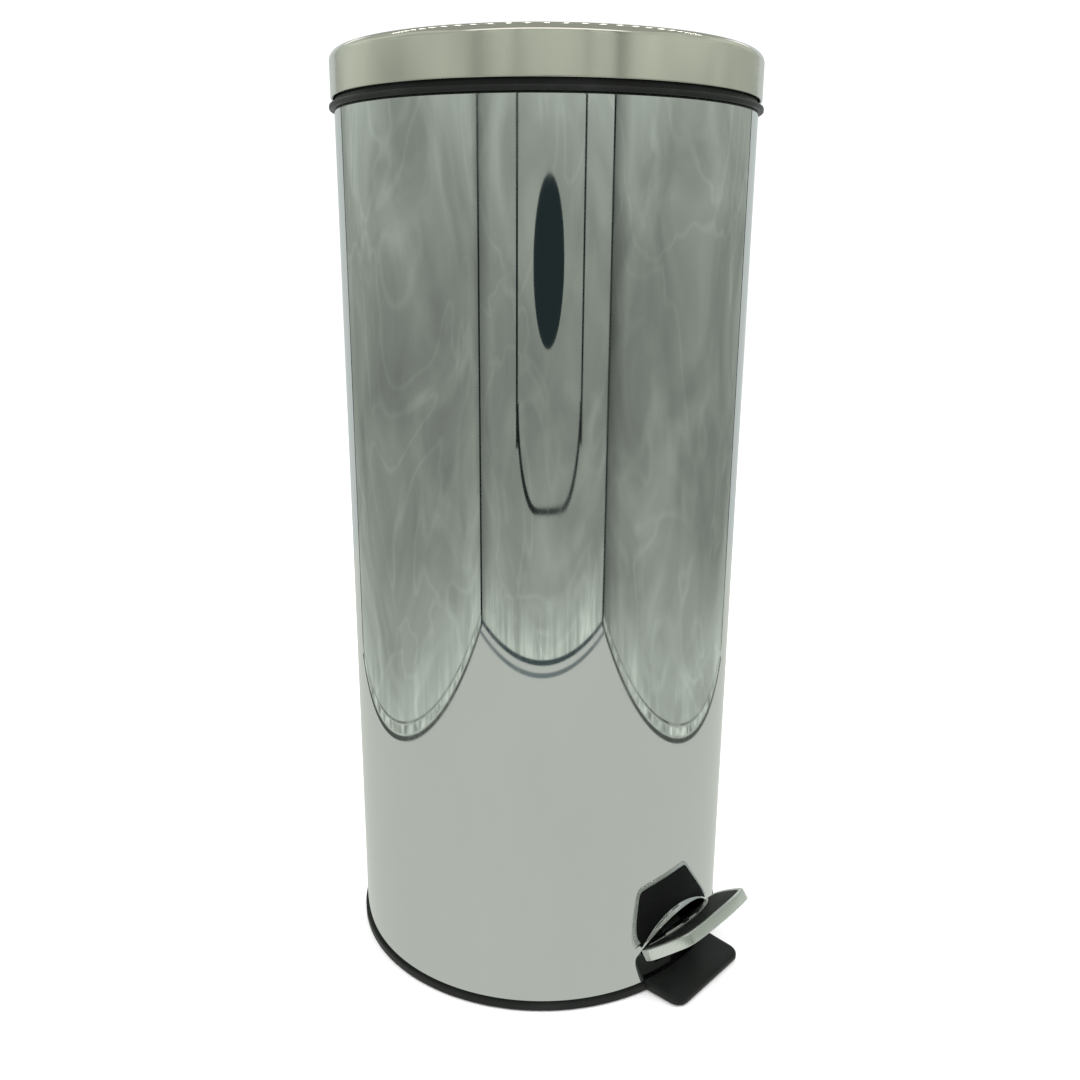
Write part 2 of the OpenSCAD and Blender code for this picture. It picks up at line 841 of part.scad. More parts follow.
module lid_bumpers() {
    color("#17181a") for (az = [-140, -100, -80, -40, 40, 140]) rotate([0, 0, az])
        translate([145, 0, lid_ring_z - 2]) cylinder(r = lid_bumper_r, h = 2);
}

// The toe's arm is thin below, where it passes over the rod's cap
module toe_outline() {
    translate([toe_y, toe_z]) {
        circle(r = toe_r);
        rotate(lid_throw / 2) translate([0, -arm_under]) square([toe_arm, arm_under + arm_over]);
    }
}

module lid_hinge_arm() {
    in_r = lid_r - sheet;
    color("silver") difference() {
        union() {
            intersection() {
                x_extrude(arm_half) polygon([[in_r - 3, lid_edge - 3], [in_r + 2, lid_edge - 3],
                    [in_r + 2, lid_edge + 20], [in_r - 3, lid_edge + 20]]);
                union() {
                    cylinder(r = in_r, h = 700);
                    cylinder(r = lid_r + 3, h = lid_edge - 0.6);
                }
            }
            x_extrude(arm_half) {
                translate([hinge_y, hinge_z]) circle(r = barrel_r);
                toe_outline();
                polygon([[hinge_y - barrel_r, hinge_z], [hinge_y, hinge_z + 5],
                    [in_r + 2, lid_edge - 0.6], [in_r - 3, lid_edge - 0.6],
                    [in_r - 3, lid_edge - 3]]);
            }
        }
        translate([0, hinge_y, hinge_z]) x_bar(hinge_pin_r + play, -20, 20);
        lid_rivet_places(body_r - 5) cylinder(r = lid_rivet_r, h = 12);
    }
}

module lid_rivets() {
    color("silver") lid_rivet_places(lid_r) fastener(3, 1, lid_rivet_r, 3.7);
}

// ---------- bucket ----------

module inner_bucket() {
    color("#2b2e31") difference() {
        union() {
            rotate_extrude() polygon([[0, bucket_z], [bucket_floor_r, bucket_z],
                [bucket_top_r, rim_z - rim_drop], [bucket_top_r, rim_z - 2],
                [rim_r - 1.5, rim_z - 2], [rim_r - 1.5, rim_z - rim_drop],
                [rim_r, rim_z - rim_drop], [rim_r, rim_z],
                [bucket_top_r - bucket_wall, rim_z],
                [bucket_top_r - bucket_wall, rim_z - rim_drop],
                [bucket_floor_r - bucket_wall, bucket_z + bucket_base_t],
                [0, bucket_z + bucket_base_t]]);
            for (side = [-1, 1]) mirror_x(side) translate([lug_in, 0, 0]) {
                translate([0, -lug_half, rim_z - 12]) cube([lug_out - lug_in, 2 * lug_half, 15]);
                translate([0, 0, bail_z]) x_bar(lug_r, 0, lug_out - lug_in);
                translate([0, -lug_half, rim_z - 12]) cube([7, 2 * lug_half, 11]);
            }
        }
        translate([0, 0, bail_z]) x_bar(bail_r + play, -lug_out - 0.5, lug_out + 0.5);
    }
}

module bail_wire() {
    color("silver") translate([0, 0, bail_z]) {
        rotate([0, 0, 180]) rotate_extrude(angle = 180)
            translate([bail_loop_r, 0]) circle(r = bail_r, $fn = 32);
        for (side = [-1, 1]) mirror_x(side) {
            x_bar(bail_r, lug_in - 1, bail_loop_r);
            translate([bail_loop_r, 0, 0]) sphere(r = bail_r);
        }
    }
}

module bail_grip() {
    color("#202224") translate([0, 0, bail_z]) difference() {
        rotate([0, 0, -90 - grip_sweep / 2]) rotate_extrude(angle = grip_sweep)
            translate([bail_loop_r, 0]) difference() {
                circle(r = grip_r, $fn = 48);
                circle(r = bail_r, $fn = 32);
            }
        translate([-200, -200, -20 - bail_r]) cube([400, 400, 20.3]);
    }
}

body_shell();
rim_ring();
base_ring();
floor_pan();
floor_screws();
foot_front_left();
foot_front_right();
foot_rear_left();
foot_rear_right();
foot_plate_pad();
pivot_bracket_left();
pivot_bracket_right();
bracket_rivets();
pivot_pin();
pivot_clips();
lever_bumper();
rod_guide_lower();
rod_guide_upper();
guide_rivets();
hinge_housing();
housing_screws();
hinge_pin();
carry_handle();
handle_screws();
pedal_tray();
pedal_pad();
pad_clips();
pedal_lever();
tray_rivets();
pivot_bush();
push_rod();
rod_foot();
rod_cap();
lid_shell();
lid_inner_ring();
lid_bumpers();
lid_hinge_arm();
lid_rivets();
inner_bucket();
bail_wire();
bail_grip();
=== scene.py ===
import json
import math

import bmesh
import bpy
from mathutils import Matrix, Vector


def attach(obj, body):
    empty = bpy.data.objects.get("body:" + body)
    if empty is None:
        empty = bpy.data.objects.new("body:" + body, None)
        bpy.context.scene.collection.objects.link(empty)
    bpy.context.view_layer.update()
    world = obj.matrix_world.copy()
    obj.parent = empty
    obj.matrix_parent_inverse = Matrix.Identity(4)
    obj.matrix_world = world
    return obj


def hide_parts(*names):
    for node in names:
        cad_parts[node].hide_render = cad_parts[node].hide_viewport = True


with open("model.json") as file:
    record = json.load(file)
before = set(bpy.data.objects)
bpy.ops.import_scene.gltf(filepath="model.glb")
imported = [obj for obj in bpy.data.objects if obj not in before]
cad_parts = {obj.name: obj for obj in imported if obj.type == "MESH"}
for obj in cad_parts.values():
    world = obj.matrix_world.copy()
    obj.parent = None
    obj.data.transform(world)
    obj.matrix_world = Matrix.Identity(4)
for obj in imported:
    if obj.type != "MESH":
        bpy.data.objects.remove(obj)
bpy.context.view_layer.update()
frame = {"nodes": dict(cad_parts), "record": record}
scene = bpy.context.scene
MM = 0.001
SAME_PLACE = 0.01 * MM      # vertices of a new mesh nearer than this are one
CAD_WELD = 0.001 * MM       # and of a CAD mesh
ROUND_STEPS = 256
MOST_OF_SIDE = 0.49         # a rounded corner takes at most this share of a side

# ---------------------------------------------------------------- sizes, in millimetres

BODY_R = 146.0
SHEET = 0.8
BODY_TOP = 626.5
BODY_LOW = 4.5
ARCH_R = 59.0
ARCH_Z = -7.0
SHOULDER_Z = 33.0
SILL_Z = 10.0
LIP_DEPTH = 6.0
LIP_ROLL = 2.6
TOP_ROLL = 1.4
HINGE_GAP = 26.0
HINGE_GAP_Z = 604.0

# ways through the wall under the arch for the pedal's sheet, the lever and the foot plate:
# half width, low, high
WAYS = ((31, 20.3, 33.6), (14, SILL_Z, 21.5), (41.5, SILL_Z, 13.5))

PEDAL_TILT = 37.5           # degrees
PEDAL_R = 138.3
PEDAL_Z = 37.0
PAD_ARC_R = 56.2
PAD_ARC_U = -34.5

LID_R = 148.2
LID_LOW = 633.5
LID_SKIRT_TOP = 657.0
LID_ROUND = 6.0
LID_CROWN = 3.0

# ---------------------------------------------------------------- mesh helpers


def make_object(name, verts, faces, scale=MM):
    """A mesh object from vertices in millimetres."""
    mesh = bpy.data.meshes.new(name)
    mesh.from_pydata([Vector(v) * scale for v in verts], [], faces)
    mesh.validate()
    mesh.update()
    obj = bpy.data.objects.new(name, mesh)
    scene.collection.objects.link(obj)
    return obj


def shade(obj, angle):
    """Smooth faces, with edges sharper than angle kept crisp."""
    bm = bmesh.new()
    bm.from_mesh(obj.data)
    bmesh.ops.recalc_face_normals(bm, faces=bm.faces)
    limit = math.radians(angle)
    for face in bm.faces:
        face.smooth = True
    for edge in bm.edges:
        edge.smooth = len(edge.link_faces) == 2 and edge.calc_face_angle(0) < limit
    bm.to_mesh(obj.data)
    bm.free()
    return obj


def merge(obj):
    """Joins vertices that lie in the same place."""
    bm = bmesh.new()
    bm.from_mesh(obj.data)
    bmesh.ops.remove_doubles(bm, verts=bm.verts, dist=SAME_PLACE)
    bm.to_mesh(obj.data)
    bm.free()
    return obj


def bevel(obj, width, segments, angle=30):
    """Rounds an object's crisp edges for good."""
    modifier = obj.modifiers.new("round", "BEVEL")
    modifier.width = width * MM
    modifier.segments = segments
    modifier.limit_method = "ANGLE"
    modifier.angle_limit = math.radians(angle)
    return apply_modifiers(obj)


def apply_modifiers(obj):
    """The object's modifiers become part of its mesh."""
    graph = bpy.context.evaluated_depsgraph_get()
    mesh = bpy.data.meshes.new_from_object(obj.evaluated_get(graph))
    obj.modifiers.clear()
    obj.data = mesh
    return obj


def mesh_object(name, bm):
    """A new object takes over what was built in a bmesh."""
    mesh = bpy.data.meshes.new(name)
    bm.to_mesh(mesh)
    bm.free()
    obj = bpy.data.objects.new(name, mesh)
    scene.collection.objects.link(obj)
    return obj


def join(name, objects):
    """Several objects become one."""
    bm = bmesh.new()
    for obj in objects:
        part = obj.data.copy()
        part.transform(obj.matrix_world)
        bm.from_mesh(part)
        bpy.data.meshes.remove(part)
        bpy.data.objects.remove(obj)
    return mesh_object(name, bm)


def fillet(points, radius, steps, closed=True):
    """Rounds the corners of a 2D outline. radius is one number or one for each corner."""
    count = len(points)
    radii = radius if isinstance(radius, (list, tuple)) else [radius] * count
    out = []
    for i, here in enumerate(points):
        r = radii[i]
        if r <= 0 or (not closed and i in (0, count - 1)):
            out.append(tuple(here))
            continue
        p = Vector(here)
        a = Vector(points[i - 1]) - p
        b = Vector(points[(i + 1) % count]) - p
        half = a.angle(b) / 2
        cut = min(r / math.tan(half), a.length * MOST_OF_SIDE, b.length * MOST_OF_SIDE)
        r = cut * math.tan(half)
        centre = p + (a.normalized() + b.normalized()).normalized() * (r / math.sin(half))
        start = p + a.normalized() * cut - centre
        end = p + b.normalized() * cut - centre
        turn = start.angle_signed(end)
        for k in range(steps + 1):
            arm = start.copy()
            arm.rotate(Matrix.Rotation(-turn * k / steps, 2))
            out.append(tuple(centre + arm))
    return out


def lathe(name, profile, steps=ROUND_STEPS, start=0.0, sweep=360.0):
    """Turns a closed profile of (radius, height) round Z. Angles run from -Y towards +X."""
    full = sweep == 360.0
    rings = steps if full else steps + 1
    count = len(profile)
    verts, faces = [], []
    for i in range(rings):
        a = math.radians(start + sweep * i / steps)
        for r, z in profile:
            verts.append((r * math.sin(a), -r * math.cos(a), z))
    for i in range(steps):
        j = (i + 1) % rings
        for k in range(count):
            m = (k + 1) % count
            faces.append((i * count + k, j * count + k, j * count + m, i * count + m))
    if not full:
        faces.append(tuple(range(count)))
        faces.append(tuple(reversed(range((rings - 1) * count, rings * count))))
    return merge(make_object(name, verts, faces))


def prism(name, outline, low, high, place=None):
    """A 2D outline drawn out from low to high along Z, then placed."""
    count = len(outline)
    verts = [(x, y, low) for x, y in outline] + [(x, y, high) for x, y in outline]
    faces = [tuple(reversed(range(count))), tuple(range(count, 2 * count))]
    for i in range(count):
        j = (i + 1) % count
        faces.append((i, j, count + j, count + i))
    if place is not None:
        verts = [place @ Vector(v) for v in verts]
    return make_object(name, verts, faces)


# ---------------------------------------------------------------- node material helpers


class Nodes:
    """A short way to build a node material."""

    def __init__(self, name):
        self.material = bpy.data.materials.new(name)
        self.material.use_nodes = True
        self.tree = self.material.node_tree
        self.tree.nodes.clear()
        self.output = self.add("ShaderNodeOutputMaterial")
        self.coords = self.add("ShaderNodeTexCoord").outputs["Object"]

    def add(self, kind, **values):
        node = self.tree.nodes.new(kind)
        for key, value in values.items():
            setattr(node, key, value)
        return node

    def link(self, source, target):
        self.tree.links.new(source, target)

    def height(self):
        """The height over the floor, in metres."""
        node = self.add("ShaderNodeSeparateXYZ")
        self.link(self.coords, node.inputs[0])
        return node.outputs[2]

    def noise(self, scale, detail, rough, stretch=(1, 1, 1), offset=(0, 0, 0), distortion=0.0):
        mapping = self.add("ShaderNodeMapping")
        mapping.inputs["Scale"].default_value = stretch
        mapping.inputs["Location"].default_value = offset
        self.link(self.coords, mapping.inputs["Vector"])
        node = self.add("ShaderNodeTexNoise")
        node.inputs["Scale"].default_value = scale
        node.inputs["Detail"].default_value = detail
        node.inputs["Roughness"].default_value = rough
        node.inputs["Distortion"].default_value = distortion
        self.link(mapping.outputs[0], node.inputs["Vector"])
        return node.outputs["Fac"]

    def remap(self, source, low, high, to_low, to_high):
        node = self.add("ShaderNodeMapRange")
        self.link(source, node.inputs["Value"])
        for key, value in (("From Min", low), ("From Max", high),
                           ("To Min", to_low), ("To Max", to_high)):
            node.inputs[key].default_value = value
        return node.outputs[0]

    def math(self, operation, *values):
        node = self.add("ShaderNodeMath", operation=operation)
        for socket, value in zip(node.inputs, values):
            if isinstance(value, (int, float)):
                socket.default_value = value
            else:
                self.link(value, socket)
        return node.outputs[0]

    def mix(self, factor, a, b):
        """A blend of two colours."""
        node = self.add("ShaderNodeMix", data_type="RGBA")
        self.link(factor, node.inputs[0])
        node.inputs[6].default_value = (*a, 1)
        node.inputs[7].default_value = (*b, 1)
        return node.outputs[2]

    def bump(self, height, distance):
        node = self.add("ShaderNodeBump")
        node.inputs["Distance"].default_value = distance * MM
        self.link(height, node.inputs["Height"])
        return node.outputs[0]

    def principled(self, color, roughness, metallic=0.0, normal=None, specular=0.5):
        node = self.add("ShaderNodeBsdfPrincipled")
        node.inputs["Metallic"].default_value = metallic
        node.inputs["Specular IOR Level"].default_value = specular
        if isinstance(color, tuple):
            node.inputs["Base Color"].default_value = (*color, 1)
        else:
            self.link(color, node.inputs["Base Color"])
        if isinstance(roughness, (int, float)):
            node.inputs["Roughness"].default_value = roughness
        else:
            self.link(roughness, node.inputs["Roughness"])
        if normal is not None:
            self.link(normal, node.inputs["Normal"])
        self.link(node.outputs[0], self.output.inputs["Surface"])
        return self.material


def polished_steel(name, color, rough_low, rough_high, wave, bright_above=None):
    """Mirror sheet steel with smudges and a faint unevenness of the sheet.

    bright_above is the height in metres over which the sheet is polished brighter.
    """
    n = Nodes(name)
    smudge = n.noise(9, 4, 0.6, stretch=(1, 1, 0.5))
    fine = n.noise(420, 2, 0.6, stretch=(1, 1, 0.06))
    both = n.math("ADD", n.math("MULTIPLY", smudge, 0.8), n.math("MULTIPLY", fine, 0.2))
    rough = n.remap(both, 0.42, 0.72, rough_low, rough_high)
    if bright_above:
        polish = n.remap(n.height(), bright_above, bright_above + 0.002, 1.0, 0.3)
        rough = n.math("MULTIPLY", rough, polish)
    tint = n.mix(n.remap(smudge, 0.35, 0.75, 0, 1), color, tuple(c * 0.965 for c in color))
    swell = n.noise(7, 2, 0.5, stretch=(1, 1, 0.35))
    return n.principled(tint, rough, 1.0, n.bump(swell, wave))


def satin_steel(name, color, rough_low, rough_high):
    """Lightly brushed steel with handling marks."""
    n = Nodes(name)
    grain = n.noise(900, 3, 0.6)
    marks = n.noise(35, 4, 0.6)
    rough = n.remap(n.math("ADD", n.math("MULTIPLY", grain, 0.5), n.math("MULTIPLY", marks, 0.5)),
                    0.35, 0.65, rough_low, rough_high)
    tint = n.mix(n.remap(marks, 0.35, 0.7, 0, 1), color, tuple(c * 0.88 for c in color))
    return n.principled(tint, rough, 1.0, n.bump(grain, 0.01))


def moulded_plastic(name, color, rough_low, rough_high, grain_size=1200, depth=0.02):
    """Moulded plastic or rubber with a fine spark-eroded grain and dusty rubs."""
    n = Nodes(name)
    grain = n.noise(grain_size, 2, 0.5)
    rub = n.noise(24, 5, 0.6)
    rough = n.remap(rub, 0.35, 0.7, rough_low, rough_high)
    lighter = tuple(min(1.0, c * 1.6 + 0.004) for c in color)
    tint = n.mix(n.remap(rub, 0.5, 0.8, 0, 1), color, lighter)
    return n.principled(tint, rough, 0.0, n.bump(grain, depth), specular=0.22)


# one for each material slot: a linear colour, then the lowest and the highest roughness
MATERIALS = {
    "polished_steel": polished_steel("polished_steel", (0.655, 0.67, 0.665), 0.025, 0.075, 0.012),
    "lid_steel": polished_steel("lid_steel", (0.755, 0.73, 0.66), 0.17, 0.24, 0.02,
                                LID_SKIRT_TOP * MM),
    "pedal_steel": satin_steel("pedal_steel", (0.84, 0.85, 0.83), 0.22, 0.34),
    "zinc_steel": satin_steel("zinc_steel", (0.60, 0.61, 0.62), 0.28, 0.42),
    "fastener_steel": satin_steel("fastener_steel", (0.64, 0.64, 0.65), 0.22, 0.35),
    "black_plastic": moulded_plastic("black_plastic", (0.0075, 0.0082, 0.0078), 0.36, 0.48),
    "pan_plastic": moulded_plastic("pan_plastic", (0.010, 0.010, 0.011), 0.42, 0.55),
    "bucket_plastic": moulded_plastic("bucket_plastic", (0.045, 0.047, 0.046), 0.38, 0.52, 700, 0.03),
    "pedal_pad": moulded_plastic("pedal_pad", (0.0075, 0.008, 0.0078), 0.50, 0.62, 900, 0.05),
    "nylon": moulded_plastic("nylon", (0.62, 0.61, 0.56), 0.38, 0.50),
    "nylon_black": moulded_plastic("nylon_black", (0.02, 0.02, 0.021), 0.36, 0.48),
    "rubber": moulded_plastic("rubber", (0.015, 0.015, 0.015), 0.62, 0.78),
}

# how far each CAD node's crisp edges are rounded, in millimetres
SMALLEST_EDGE = 0.25
SOFT_EDGE = {"hinge_housing": 1.2, "rod_guide_lower": 0.6, "rod_guide_upper": 0.6, "pad_clips": 0.2,
             "lever_bumper": 0.8, "pedal_lever": 0.4, "lid_inner_ring": 0.4, "floor_pan": 0.5}


def finish_piece(obj, slot, body, node):
    """Material, body and the CAD node that a new piece stands for."""
    obj.data.materials.clear()
    obj.data.materials.append(MATERIALS[slot])
    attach(obj, body)
    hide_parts(node)


def dress_cad_nodes():
    """Every CAD node gets its slot's material, smooth shading and softly rounded edges."""
    slots = {s["node"]: s["material_slot"] for s in frame["record"]["subparts"]}
    for node, obj in frame["nodes"].items():
        obj.data.materials.clear()
        obj.data.materials.append(MATERIALS[slots[node]])
        for polygon in obj.data.polygons:
            polygon.use_smooth = True
            polygon.material_index = 0
        weld = obj.modifiers.new("weld", "WELD")
        weld.merge_threshold = CAD_WELD
        rounded = obj.modifiers.new("round", "BEVEL")
        rounded.width = SOFT_EDGE.get(node, SMALLEST_EDGE) * MM
        rounded.segments = 2
        rounded.limit_method = "ANGLE"
        rounded.angle_limit = math.radians(40)
        weighted = obj.modifiers.new("weighted", "WEIGHTED_NORMAL")
        weighted.keep_sharp = True


# ---------------------------------------------------------------- camera and studio, in metres

CAMERA_AZIMUTH = -48.7      # round the part's axis, in degrees
CAMERA_PLACE = (0, -0.80965, 0.55252)
PITCH, ROLL, YAW = math.radians(16.243), math.radians(0.402), math.radians(-0.160)
TENT_X = 0.505
TENT_FRONT = -0.79
TENT_BACK = 0.42
TENT_TOP = 1.15
SEAM_Y = TENT_FRONT + 0.004
LAMP_Z = TENT_TOP - 0.04
ROOM = 0.9                  # half the width of the room behind the tent, and its far wall
CLOTH = (0.355, 0.39, 0.345)
SEAM = (0.012, 0.016, 0.017)


def tent_turn():
    """The studio is laid out along the camera's own azimuth."""
    return Matrix.Rotation(math.radians(CAMERA_AZIMUTH), 4, "Z")


def make_camera():
    """A camera as wide as it is high, with its pitch, roll and yaw."""
    data = bpy.data.cameras.new("camera")
    data.lens, data.sensor_width = 36.0, 36.0
    camera = bpy.data.objects.new("camera", data)
    scene.collection.objects.link(camera)
    ahead = Vector((math.sin(YAW) * math.cos(PITCH), math.cos(YAW) * math.cos(PITCH), -math.sin(PITCH)))
    right = Vector((math.cos(YAW), -math.sin(YAW), 0))
    up = right.cross(ahead)
    side = right * math.cos(ROLL) + up * math.sin(ROLL)
    top = up * math.cos(ROLL) - right * math.sin(ROLL)
    turn = Matrix((side, top, -ahead)).transposed().to_4x4()
    camera.matrix_world = tent_turn() @ Matrix.Translation(CAMERA_PLACE) @ turn
    data.clip_start = 0.02
    scene.camera = camera


def glow(name, color, strength=1.0, folds=None, streaks=0.0, fade=None):
    """An evenly lit cloth or sheet of the light tent. folds is (low, high, scale, stretch), for the
    painted light and shade of the cloth's folds and creases.

    fade is (direction in the tent, from, to, level), for a sheet with painted shade that gets dark
    towards a corner.
    """
    n = Nodes(name)
    emission = n.add("ShaderNodeEmission")
    emission.inputs["Color"].default_value = (*color, 1)
    emission.inputs["Strength"].default_value = strength
    if folds:
        low, high, scale, stretch = folds
        # painted light and shade of the cloth's soft folds
        soft = n.remap(n.noise(scale, 4, 0.5, stretch=stretch, distortion=0.8), 0.3, 0.7, low, high)
        # painted light: brighter towards the floor and the ceiling than half way up
        off = n.remap(n.height(), 0.0, 0.72, -1.0, 1.0)
        rise = n.math("ADD", n.math("MULTIPLY", n.math("MULTIPLY", off, off), 0.55), 0.84)
        # painted highlights along thin creases in the cloth
        line = n.noise(2.4, 2, 0.5, stretch=(1, 1, 2.0), offset=(3, 1, 2), distortion=1.0)
        away = n.math("ABSOLUTE", n.math("SUBTRACT", line, 0.5))
        crease = n.remap(away, 0.0, 0.03, 1.14, 1.0)
        level = n.math("MULTIPLY", n.math("MULTIPLY", soft, rise), crease)
        if streaks:
            fine = n.remap(n.noise(30, 2, 0.6, stretch=(1, 1, 0.3)), 0.35, 0.65, 0.1, 1.3)
            near = n.remap(n.height(), 0.02, 0.10, streaks, 0.0)
            level = n.math("MULTIPLY", level, n.math("ADD", n.math("MULTIPLY", fine, near), 1.0))
        # painted shade, darker towards a corner of the tent
        if fade:
            direction, start, end, dark = fade
            along = n.add("ShaderNodeVectorMath", operation="DOT_PRODUCT")
            n.link(n.coords, along.inputs[0])
            along.inputs[1].default_value = tent_turn().to_3x3() @ Vector(direction)
            level = n.math("MULTIPLY", level, n.remap(along.outputs["Value"], start, end, dark, 1.0))
        n.link(level, emission.inputs["Strength"])
    n.link(emission.outputs[0], n.output.inputs["Surface"])
    return n.material


def stage_quad(name, corners, material):
    """A flat stage sheet, in metres and in the tent's own directions, that only mirrors show."""
    obj = make_object(name, corners, [tuple(range(len(corners)))], scale=1.0)
    obj.data.transform(tent_turn())
    obj.data.materials.append(material)
    obj.visible_camera = False
    obj.visible_diffuse = False
    obj.visible_shadow = False
    obj.visible_transmission = False


def level_sheet(name, x0, x1, y0, y1, z, material):
    """A level sheet."""
    stage_quad(name, [(x0, y0, z), (x1, y0, z), (x1, y1, z), (x0, y1, z)], material)


def cross_sheet(name, x0, x1, y, z0, z1, material):
    """An upright sheet across the tent."""
    stage_quad(name, [(x0, y, z0), (x1, y, z0), (x1, y, z1), (x0, y, z1)], material)


def side_sheet(name, x, y0, y1, z0, z1, material):
    """An upright sheet along the tent's side."""
    stage_quad(name, [(x, y0, z0), (x, y1, z0), (x, y1, z1), (x, y0, z1)], material)


def make_tent():
    """The cloth walls and ceiling of a light tent, its floor sheet and the pale room behind."""
    folds = (0.76, 1.30, 3.0, (1.0, 1.0, 2.0))
    # painted shade on the walls towards the tent's front corners
    cloth = {-1: glow("tent_left", CLOTH, folds=folds, streaks=0.2,
                      fade=((0, 1, 0), TENT_FRONT, -0.72, 0.75)),
             1: glow("tent_right", CLOTH, folds=folds, streaks=0.2,
                     fade=((0, 1, 0), TENT_FRONT, -0.60, 0.38))}
    front = glow("tent_front", CLOTH, folds=(0.86, 1.22, 3.6, (1.0, 1.0, 2.0)), streaks=0.42,
                 fade=((1, 0, 0), -TENT_X, -0.38, 0.5))
    ceiling = glow("tent_ceiling", (0.37, 0.395, 0.355))
    sheet = glow("tent_sheet", (0.65, 0.683, 0.626))
    back = glow("tent_back", (0.60, 0.65, 0.64))
    level_sheet("tent_floor", -TENT_X, TENT_X, TENT_FRONT, ROOM, 0, sheet)
    for side in (-1, 1):
        side_sheet(f"tent_side_{side}", side * TENT_X, TENT_FRONT, TENT_BACK, 0, TENT_TOP, cloth[side])
    level_sheet("tent_floor_back", -ROOM, ROOM, TENT_BACK, ROOM, 0.001, sheet)
    for side in (-1, 1):
        side_sheet("tent_back_side", side * ROOM, TENT_BACK, ROOM, 0, TENT_TOP, back)
    cross_sheet("tent_back", -ROOM, ROOM, ROOM, 0, TENT_TOP, back)
    cross_sheet("tent_front", -TENT_X, TENT_X, TENT_FRONT, 0, TENT_TOP, front)
    level_sheet("tent_top", -TENT_X, TENT_X, TENT_FRONT, ROOM, TENT_TOP, ceiling)


def make_tent_lamps():
    """A row of small lights at the back of the ceiling and a bright band at its front."""
    half, spacing = 0.005, 0.038
    lamp = glow("tent_lamp", (1.0, 1.0, 0.97), 9.0)
    for k in range(-12, 13):
        level_sheet("tent_light", spacing * k - half, spacing * k + half, 0.09, 0.15, LAMP_Z, lamp)
    level_sheet("tent_band", -TENT_X, TENT_X, -0.70, -0.54, LAMP_Z,
                glow("tent_band_lamp", (1.0, 1.0, 0.97), 1.6))


def make_flap(seam):
    """The outline of the flap in the tent's front, and the round port in it."""
    left, right, low = -0.184, 0.262, 0.205
    half, corner, rise = 0.007, 0.13, 0.5
    for x in (left, right):
        cross_sheet("tent_flap_side", x - half, x + half, SEAM_Y, low + 0.08, TENT_TOP, seam)
    outlines = []
    for side, foot in ((0, 0), (0.013, 0.009)):
        corners = [(left + side, low + rise), (left + side, low + foot),
                   (right - side, low + foot), (right - side, low + rise)]
        outlines.append(fillet(corners, corner, 16, closed=False))
    hem, inner = outlines
    for i in range(1, len(hem) - 2):
        corners = (hem[i], hem[i + 1], inner[i + 1], inner[i])
        stage_quad("tent_flap_hem", [(x, SEAM_Y, z) for x, z in corners], seam)
    port_x, port_z, port_r = 0.025, 0.510, 0.100
    turns = [k * math.pi / 32 for k in range(64)]
    stage_quad("tent_port", [(port_x + port_r * math.cos(a), SEAM_Y, port_z + port_r * math.sin(a))
                             for a in turns], glow("tent_dark", (0.022, 0.034, 0.036)))


def make_seams():
    """The tent's corner seams and the hems, gaps and lines at the foot of its walls."""
    seam = glow("tent_seam", SEAM)
    corner_x, corner_half = TENT_X - 0.006, 0.012
    for x in (-corner_x, corner_x):
        cross_sheet("tent_corner", x - corner_half, x + corner_half, SEAM_Y, 0, TENT_TOP, seam)
    make_flap(seam)
    cross_sheet("tent_foot", -TENT_X, TENT_X, SEAM_Y, 0.002, 0.010,
                glow("tent_gap", (0.06, 0.085, 0.09)))
    level_sheet("tent_edge", -TENT_X, TENT_X, TENT_FRONT + 0.026, TENT_FRONT + 0.042, 0.001,
                glow("tent_line", (0.2, 0.24, 0.24)))
    pale = glow("tent_seam_pale", CLOTH, folds=(0.25, 0.9, 14, (1, 1, 1)))
    hem = glow("tent_hem", CLOTH, folds=(0.4, 1.9, 26, (1, 1, 1)))
    gap = glow("tent_side_gap", (0.10, 0.11, 0.10))
    for side in (-1, 1):
        x = side * (TENT_X - 0.003)
        side_sheet("tent_side_seam", x, TENT_FRONT, TENT_BACK, 0.016, 0.019, pale)
        side_sheet("tent_side_hem", x, TENT_FRONT, TENT_BACK, 0.004, 0.014, hem)
        near, far = side * (TENT_X - 0.001), side * (TENT_X - 0.016)
        stage_quad("tent_side_foot", [(near, TENT_FRONT, 0), (near, TENT_BACK, 0),
                                      (far, TENT_BACK, 0.001), (far, TENT_FRONT, 0.001)], gap)
        side_sheet("tent_back_corner", side * (TENT_X - 0.002), TENT_BACK - 0.02, TENT_BACK,
                   0, TENT_TOP, seam)


def make_studio():
    """A white light tent seen only in reflections, over a plain pale floor in soft light."""
    make_tent()
    make_tent_lamps()
    make_seams()

    floor = Nodes("pale_floor")
    floor.principled((0.96, 0.96, 0.96), 0.6)
    ground = make_object("floor", [(-6, -6, 0), (6, -6, 0), (6, 6, 0), (-6, 6, 0)],
                         [(0, 1, 2, 3)], scale=1.0)
    ground.data.materials.append(floor.material)
    ground.visible_glossy = False
    ground.location.z = -0.0002

    world = bpy.data.worlds.new("studio")
    scene.world = world
    world.use_nodes = True
    background = world.node_tree.nodes["Background"]
    background.inputs["Color"].default_value = (1, 1, 1, 1)
    background.inputs["Strength"].default_value = 1.1

    # soft lamps that mirrors don't show
    for name, place, size, power in (("key", (-0.9, -1.2, 1.9), 1.6, 26),
                                     ("fill", (1.2, -0.7, 1.3), 1.4, 12),
                                     ("back", (0.2, 1.3, 1.8), 1.5, 16)):
        data = bpy.data.lights.new(name, "AREA")
        data.size = size
        data.energy = power
        light = bpy.data.objects.new(name, data)
        scene.collection.objects.link(light)
        light.visible_glossy = False
        light.location = tent_turn() @ Vector(place)
        aim = Vector((0, 0, 0.3)) - light.location
        light.rotation_euler = aim.to_track_quat("-Z", "Y").to_euler()
    scene.view_settings.view_transform = "Standard"


# ---------------------------------------------------------------- the body shell

